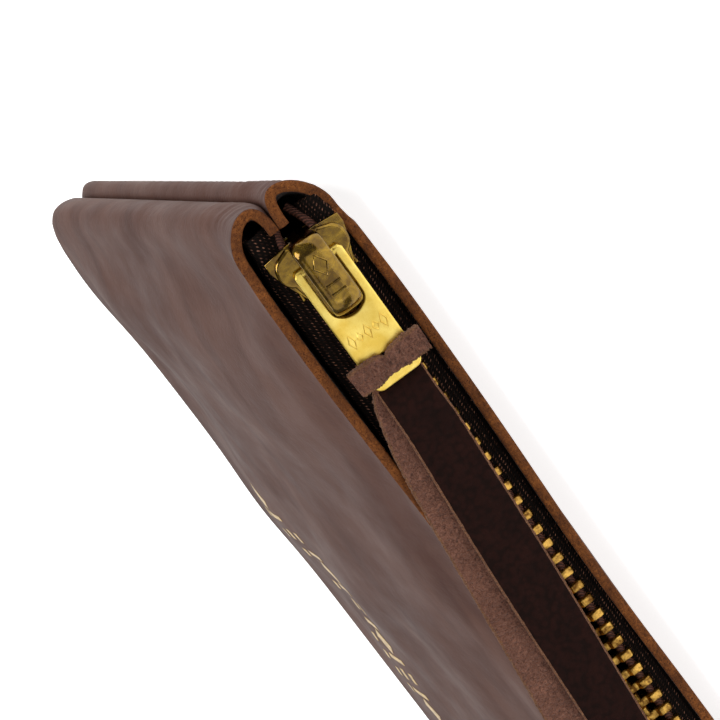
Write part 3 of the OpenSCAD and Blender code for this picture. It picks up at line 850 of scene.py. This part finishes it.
def build_teeth():
    pitch = 2.15
    count = int(round((LAST_TOOTH - 1.0 - FIRST_TOOTH) / pitch)) + 1
    rng = np.random.default_rng(3)
    for name, side in (("front", 1), ("back", -1)):
        start = FIRST_TOOTH if side > 0 else FIRST_TOOTH + pitch / 2
        row = [tooth(start + k * pitch, side, 0.65, rng) for k in range(count)]
        piece(f"teeth_row_{name}", row, [TOOTH_BRASS], "pouch",
              [f"teeth_{name}"], 50)
        stop = tooth(STOP_X, side, -1.55, rng, 1.6)
        piece(f"end_stop_{name}", [stop], [TOOTH_BRASS], "pouch",
              [f"top_stop_{name}"], 50)
    low, high = box_mm("bottom_stop")
    x0, x1 = low[0] + HALF_L, high[0] + HALF_L
    block = [(x0, -CHAIN_HALF), (x1, -CHAIN_HALF), (x1, CHAIN_HALF), (x0, CHAIN_HALF)]
    piece("end_block", [plate([block], -TOOTH_HALF, TOOTH_HALF, 0.25)], [TOOTH_BRASS], "pouch",
          ["bottom_stop"], 50)


# -------------------------------------------------------------------------------------- slider
CHANNEL = 1.2
PLATE = 0.8
PLATE_TOP = CHANNEL + PLATE
WING = 4.5
WAIST = 3.0
CROWN_W = 3.7
CROWN_THICK = 1.5
CROWN_LOW = PLATE_TOP
CROWN_TOP = HINGE_N + 2.4
CROWN_X = NOSE_X - 0.2
CROWN_REAR = CROWN_X + 9.8


def arc(cx, cy, rx, ry, start, end, count):
    a = np.radians(np.linspace(start, end, count))
    return [(cx + rx * math.cos(k), cy + ry * math.sin(k)) for k in a]


def both_sides(half):
    return half + [(x, -l) for x, l in reversed(half)]


def wings():
    """The top plate seen from above: a round lobe on each side, then a narrow waist."""
    return both_sides([(NOSE_X, 1.5)] + arc(NOSE_X + 2.5, WING - 1.5, 1.9, 1.5, 170, 20, 14)
                      + [(NOSE_X + 6.4, WAIST), (REAR_X, WAIST)])


def bottom_outline():
    return both_sides([(NOSE_X, 1.7), (NOSE_X + 0.35, WING + 0.3), (NOSE_X + 1.5, WING + 0.35),
                       (NOSE_X + 3.4, WING - 0.2), (NOSE_X + 6.5, WAIST), (REAR_X, WAIST)])


def flange(side):
    """The edge of a plate that turns in over the tape, beside the channel for the teeth."""
    lobe = arc(NOSE_X + 2.5, WING - 1.5, 1.9, 1.5, 120, 20, 8)
    outer = lobe + [(NOSE_X + 6.2, CHAIN_HALF + 0.6)]
    inner = [(NOSE_X + 6.2, CHAIN_HALF + 0.2), (NOSE_X + 3.5, CHAIN_HALF + 0.5),
             (NOSE_X + 2.0, CHAIN_HALF + 0.6)]
    return [(x, side * l) for x, l in outer + inner]


def crown_arch():
    """The crown: a thick strip, domed across, bent into a long arch over the puller's bar."""
    low, half = CROWN_LOW - 0.15, CROWN_THICK / 2
    near, far, top = CROWN_X + half, CROWN_REAR - half, CROWN_TOP - half
    path = [(near, low)] + arc(near + 1.0, top - 1.0, 1.0, 1.0, 180, 90, 10)
    path += [(mix(near + 1.0, far - 1.7, k), top) for k in (0.25, 0.5, 0.75)]
    path += arc(far - 1.7, top - 1.7, 1.7, 1.7, 90, 0, 12) + [(far, low)]
    x, n = np.array(path).T
    centres = np.stack([x, n, 0 * x], -1)
    along = np.gradient(centres, axis=0)
    along /= np.linalg.norm(along, axis=1, keepdims=True)
    sides = np.broadcast_to(np.array([0, 0, 1.0]), centres.shape)
    ups = np.cross(sides, along)
    a = np.linspace(0, 2 * math.pi, 40, endpoint=False)
    round_off = 2 / 2.6
    loop = np.stack([CROWN_W / 2 * np.sign(np.cos(a)) * np.abs(np.cos(a)) ** round_off,
                     half * np.sign(np.sin(a)) * np.abs(np.sin(a)) ** round_off], -1)
    made = sweep(centres, sides, ups, loop)
    made.points = to_row(made.points)
    return made


def lozenge(cx, cl, size_x, size_l):
    return [(cx - size_x, cl), (cx, cl + size_l), (cx + size_x, cl), (cx, cl - size_l)]


def build_slider():
    wedge = both_sides([(NOSE_X, 1.0), (NOSE_X + 2, 1.0), (NOSE_X + 3.8, 0.3)])
    body = [plate([bottom_outline()], CHANNEL, CHANNEL + 0.42, 0.1),
            plate([wings()], CHANNEL + 0.38, PLATE_TOP + 0.15, 0.36, steps=6),
            plate([bottom_outline()], -PLATE_TOP, -CHANNEL, 0.16),
            plate([wedge], -CHANNEL - 0.05, CHANNEL + 0.05, 0.1)]
    for side in (1, -1):
        body.append(plate([flange(side)], 0.45, CHANNEL + 0.1, 0.12))
        body.append(plate([flange(side)], -CHANNEL - 0.1, -0.45, 0.12))
    # a rounded lip where the plate turns up round the crown's nose
    collar = [(NOSE_X + 0.25, PLATE_TOP - 0.15, l) for l in np.linspace(-2.1, 2.1, 15)]
    body.append(tube(collar, 0.42, 14))
    piece("slider_plates", body, [SLIDER_BRASS], "slider", ["slider_body"], 50)

    # rims round the lobes; they are added to the body list after the plates' piece is made, so they
    # are not drawn
    for side in (1, -1):
        rim_line = arc(NOSE_X + 2.5, WING - 1.5, 1.75, 1.35, 175, 10, 16)
        body.append(tube([(x, PLATE_TOP + 0.08, side * l) for x, l in rim_line], 0.2, 10))
    crown = [crown_arch()]
    rise = CROWN_TOP - 0.03
    mark = [(6.3, 0.0), (7.6, 0.85), (8.9, 0.0), (7.6, -0.85)]
    crown.append(tube([(x, rise, l) for x, l in mark], 0.16, 8, close=True))
    for x in (10.0, 11.1):
        crown.append(tube([(x, rise, l) for l in np.linspace(-0.9, 0.9, 8)], 0.16, 8))
    piece("slider_arch", crown, [SLIDER_BRASS], "slider", ["slider_crown"], 50)


# ---------------------------------------------------------------------------- puller and strap
PULL_HALF = 3.1
PULL_LONG = 15.9
PULL_THICK = 1.0
WINDOW = 2.05
WINDOW_END = 6.9
HOLE_NEAR, HOLE_FAR, HOLE_HALF = 12.3, 14.4, 1.8


def build_puller():
    r = 1.0
    far, half = HINGE_X + PULL_LONG, PULL_HALF
    outline = ([(HINGE_X, -half)] + arc(far - r, -half + r, r, r, -90, 0, 7)
               + arc(far - r, half - r, r, r, 0, 90, 7)
               + [(HINGE_X, half), (HINGE_X - 0.35, half - 0.3), (HINGE_X - 0.35, WINDOW)]
               + [(HINGE_X + WINDOW_END - 1.6, WINDOW)]
               + arc(HINGE_X + WINDOW_END - 1.6, 0, 1.6, WINDOW, 80, -80, 15)
               + [(HINGE_X + WINDOW_END - 1.6, -WINDOW)]
               + [(HINGE_X - 0.35, -WINDOW), (HINGE_X - 0.35, -half + 0.3)])
    hole = [(HINGE_X + HOLE_NEAR, -HOLE_HALF), (HINGE_X + HOLE_FAR, -HOLE_HALF),
            (HINGE_X + HOLE_FAR, HOLE_HALF), (HINGE_X + HOLE_NEAR, HOLE_HALF)]
    low, high = HINGE_N - PULL_THICK / 2, HINGE_N + PULL_THICK / 2
    parts = [plate([outline, hole], low, high, 0.2, steps=4)]
    bar = [(HINGE_X, HINGE_N, l) for l in np.linspace(-half + 0.3, half - 0.3, 12)]
    parts.append(tube(bar, PULL_THICK / 2, 20))
    # a raised border motif in place of lettering
    x = HINGE_X + 9.3
    for k, l in enumerate(np.linspace(-2.1, 2.1, 5)):
        size = (0.9, 0.36) if k % 2 == 0 else (0.55, 0.36)
        path = [(px, high - 0.01, pl) for px, pl in lozenge(x, l, *size)]
        parts.append(tube(path, 0.1, 8, close=True))
    piece("pull_plate", parts, [PULL_BRASS], "pull", ["puller"], 50)


STRAP_W = 6.0
STRAP_T = 0.95


def strap_loop(width, thick, rough, rng, count):
    """Cross-sections of a strap: flat faces and slightly rounded cut edges.

    The loop's first stretch is one face, then an edge, the other face and the other edge.
    """
    n_face, n_edge = 15, 5
    w, t, r = width / 2, thick / 2, thick * 0.22
    face = np.linspace(-w + r, w - r, n_face)
    edge = np.linspace(t - r * 0.3, -t + r * 0.3, n_edge)
    loop = ([(s, t) for s in face] + [(w, u) for u in edge]
            + [(s, -t) for s in face[::-1]] + [(-w, u) for u in edge[::-1]])
    loop = np.array(loop)[None] + rng.normal(0, rough, (count, len(loop), 2))
    labels = [0] * (n_face - 1) + [1] * (n_edge + 1) + [2] * (n_face - 1) + [1] * (n_edge + 1)
    return loop, labels


def strap_run(knots, width, thick, count, faces, rng, rough=0.03):
    """A length of strap through mouth-frame knots (x, n, l, scale of width)."""
    line = spline(knots, count)
    centres, scale = line[:, :3], line[:, 3]
    along = np.gradient(centres, axis=0)
    along /= np.linalg.norm(along, axis=1, keepdims=True)
    sides = np.cross(along, np.array([0, 1.0, 0]))
    sides /= np.linalg.norm(sides, axis=1, keepdims=True)
    ups = np.cross(sides, along)
    loop, labels = strap_loop(width, thick, rough, rng, count)
    loop[..., 0] *= scale[:, None]
    made = sweep(centres, sides, ups, loop, [faces[k] for k in labels])
    made.points = to_row(made.points)
    return made


def knot_band(rng):
    """The strap's T-shaped end: a bar across the puller with square cut ends and a crease."""
    hx, top = HINGE_X + 13.3, HINGE_N + 1.1
    bar = [(hx, top - 0.15, -4.55, 1), (hx - 0.05, top, -3.4, 1.03), (hx, top - 0.05, -2.2, 1),
           (hx + 0.1, top - 0.25, -1.0, 0.95), (hx + 0.5, top - 0.5, 0.1, 0.66),
           (hx + 0.1, top - 0.25, 1.2, 0.95), (hx, top - 0.02, 2.4, 1.02),
           (hx - 0.05, top, 3.5, 1.03), (hx, top - 0.18, 4.6, 1)]
    return strap_run(bar, 3.0, 1.05, 70, (2, 1, 2), rng, 0.06)


def top_drift(s):
    """How far towards the front the upper tail has swung, s along from the puller."""
    return 0.065 * s


def under_drift(s):
    """The lower tail swings out sooner and further, and crosses the front lip."""
    return 1.0 + 1.5 * (1 - np.exp(-np.maximum(s, 0) / 4)) + 0.1 * s


def build_strap():
    rng = np.random.default_rng(12)
    root = HINGE_X + PULL_LONG + 1.2
    back_n = HINGE_N - PULL_THICK / 2 - 0.47
    lie = LIP_RISE + 0.1
    low_n = lie + STRAP_T / 2
    top_n = low_n + STRAP_T + 0.05
    length = 60.0
    # grain side up, edge, flesh side: the numbers are places in the piece's material list
    top = [(HINGE_X + 12.6, back_n, 0.1, 0.6), (HINGE_X + 14.2, back_n, 0.15, 0.9),
           (root - 1.0, back_n + 0.12, 0.22, 1), (root + 0.5, mix(back_n, top_n, 0.75), 0.3, 1),
           (root + 2.2, top_n, 0.32, 1)]
    top += [(root + s, top_n, top_drift(s), 1 + 0.12 * bell(s, 26, 18))
            for s in np.linspace(6, length, 9)]
    under = [(HINGE_X + 13.2, back_n - 0.1, 0.6, 0.5), (HINGE_X + 14.6, back_n - 0.12, 0.8, 0.7),
             (root - 0.4, low_n, 1.1, 0.9)]
    under += [(root + s, low_n, under_drift(s), 1) for s in np.linspace(2, length, 12)]
    parts = [knot_band(rng),
             strap_run(under, STRAP_W, STRAP_T, 190, (2, 1, 0), rng, 0.05),
             strap_run(top, STRAP_W, STRAP_T, 150, (0, 1, 2), rng, 0.012)]
    strap = piece("pull_strap", parts, [STRAP_GRAIN, STRAP_EDGE, STRAP_SUEDE], None,
                  ["strap_knot", "strap_tail_top", "strap_tail_under"], 60)
    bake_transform(strap)


# ------------------------------------------------------------------------------------ stitches
def stitch(path, radius):
    """One stitch: a short thread whose ends dive into the leather."""
    path = spline(path, 9)
    k = np.linspace(-1, 1, len(path))
    return tube(path, radius * np.sqrt(np.maximum(1 - 0.7 * k**4, 0.1)), 10)


def build_stitches():
    depth, pitch, long = 3.0, 3.4, 2.5
    n = LIP_RISE - depth
    count = int((2 * HALF_L - 2 * 10) / pitch)
    for name, height_of, side in (("front", front_height, 1), ("back", back_height, -1)):
        row = []
        for k in range(count + 1):
            x = HALF_L + (k - count / 2) * pitch
            path = []
            for step, sunk in ((-0.5, 0.3), (-0.25, 0.07), (0.25, 0.07), (0.5, 0.3)):
                at = x + step * long
                height = side * (float(height_of(at - HALF_L, depth)) - sunk)
                path.append((at, n, height + SEAM_SHIFT))
            row.append(stitch(path, 0.12))
        piece(f"lip_stitches_{name}", row, [HIDDEN_THREAD], "pouch",
              [f"zipper_stitches_{name}"], 60)


def foil_patch(x, depth, size_x, size_d, turn):
    """A thin flake of foil that follows the front panel."""
    u, v = np.meshgrid(np.linspace(-1, 1, 4), np.linspace(-1, 1, 4), indexing="ij")
    a, b = u * size_x, v * size_d
    at_x = x + a * math.cos(turn) - b * math.sin(turn)
    at_d = depth + a * math.sin(turn) + b * math.cos(turn)
    height = front_height(at_x, at_d) + relief(at_x, at_d, True)
    top, under = section(at_x, at_d, height + 0.05), section(at_x, at_d, height - 0.2)
    index = np.arange(16).reshape(4, 4)
    ring = np.concatenate([index[0], index[1:, -1], index[-1, -2::-1], index[-2:0:-1, 0]])
    faces = np.vstack([quads(index), quads(index)[:, ::-1] + 16,
                       quads(np.stack([ring, ring + 16]), wrap=True)])
    return Part(np.vstack([top.reshape(-1, 3), under.reshape(-1, 3)]), faces)


def build_foil():
    """A worn stamp low on the front: plain lozenges, dashes and dots instead of lettering."""
    rng = np.random.default_rng(5)
    start, pitch, first_depth, climb, climb_run = -25, 3.4, 76.0, 7.0, 12
    parts = []
    for k in range(22):
        x = start + pitch * k
        row = first_depth - climb * smooth((x - start) / climb_run) + rng.normal(0, 0.15)
        kind = k % 4
        if kind == 0:
            parts.append(foil_patch(x, row, 1.5, 1.9, math.pi / 4))
        elif kind in (1, 3):
            parts.append(foil_patch(x, row, 0.5, 2.6, 0.0))
        else:
            parts.append(foil_patch(x, row - 1.6, 1.0, 0.6, 0.0))
            parts.append(foil_patch(x, row + 1.6, 1.0, 0.6, 0.0))
        if rng.random() < 0.7:
            parts.append(foil_patch(x + 0.6, row + 5.0, 0.8, 0.6, 0.0))
    piece("front_stamp", parts, [FOIL], "pouch", (), 60)


def dress_cad_nodes():
    """The nodes whose shape is kept take their finish on the CAD mesh itself."""
    looks = {"lock_pawl": TOOTH_BRASS, "side_stitches_slider_end": THREAD,
             "side_stitches_far_end": THREAD, "bottom_stitches": THREAD}
    for name, material in looks.items():
        mesh = frame["nodes"][name].data
        mesh.materials.clear()
        mesh.materials.append(material)


# --------------------------------------------------------------------- table, light and camera
def build_stage():
    """A pale table whose far side sweeps up behind the pouch."""
    reach, rise, radius = 1500.0, 900.0, 500.0
    profile = [(900.0, 0.0), (-reach + radius, 0.0)]
    profile += [(-reach + radius - radius * math.sin(a), radius * (1 - math.cos(a)))
                for a in np.linspace(0, math.pi / 2, 16)[1:]]
    profile.append((-reach, rise))
    points = [(x, y, z) for y, z in profile for x in (-1800.0, 1800.0)]
    index = np.arange(len(points)).reshape(-1, 2)
    mesh = bpy.data.meshes.new("table")
    mesh.from_pydata([tuple(c * MM for c in p) for p in points], [],
                     [tuple(int(i) for i in f) for f in quads(index)])
    mesh.shade_smooth()
    mesh.materials.append(paper_white())
    table = bpy.data.objects.new("table", mesh)
    bpy.context.scene.collection.objects.link(table)


def softbox(name, place, aim, size, power, colour=(1, 1, 1)):
    data = bpy.data.lights.new(name, "AREA")
    data.shape = "RECTANGLE"
    data.size, data.size_y = size
    data.energy = power
    data.color = colour
    light = bpy.data.objects.new(name, data)
    light.location = place
    light.rotation_euler = (Vector(aim) - Vector(place)).to_track_quat("-Z", "Y").to_euler()
    bpy.context.scene.collection.objects.link(light)


def build_light():
    aim = tuple(to_row([(20, 0, 0)])[0] * MM)
    softbox("key", (-0.55, 0.25, 0.75), aim, (0.6, 0.6), 7.5)
    softbox("fill", (0.5, 0.5, 0.5), aim, (0.8, 0.8), 1.6)
    softbox("back", (0.1, -0.6, 0.7), aim, (0.9, 0.5), 2.2)
    softbox("sparkle", (0.13, 0.60, 0.15), aim, (0.4, 0.4), 0.4)
    world = bpy.data.worlds.new("studio")
    world.use_nodes = True
    world.node_tree.nodes["Background"].inputs["Color"].default_value = (0.95, 0.97, 1, 1)
    world.node_tree.nodes["Background"].inputs["Strength"].default_value = 0.2
    bpy.context.scene.world = world


def build_camera():
    """Low over the zipper's slider end, rolled so that the zipper runs down the picture."""
    azimuth, elevation, roll = math.radians(198.0), math.radians(14.35), math.radians(-130.8)
    distance, lens, sensor = 0.2273, 105.0, 36.0
    aim_x, aim_n, aim_l = 19.6, 1.973, 2.497
    aim = Vector(to_row([(aim_x, aim_n, aim_l)])[0] * MM)
    back = Vector((math.sin(azimuth) * math.cos(elevation),
                   -math.cos(azimuth) * math.cos(elevation), math.sin(elevation)))
    data = bpy.data.cameras.new("camera")
    data.lens, data.sensor_width = lens, sensor
    data.clip_start, data.clip_end = 0.01, 10.0
    camera = bpy.data.objects.new("camera", data)
    camera.location = aim + back * distance
    upright = (-back).to_track_quat("-Z", "Y").to_matrix()
    camera.rotation_euler = (upright @ Matrix.Rotation(roll, 3, "Z")).to_euler()
    bpy.context.scene.collection.objects.link(camera)
    bpy.context.scene.camera = camera
    bpy.context.scene.view_settings.view_transform = "Standard"


build_panels()
build_tapes()
build_teeth()
build_slider()
build_puller()
build_strap()
build_stitches()
build_foil()
dress_cad_nodes()
build_stage()
build_light()
build_camera()
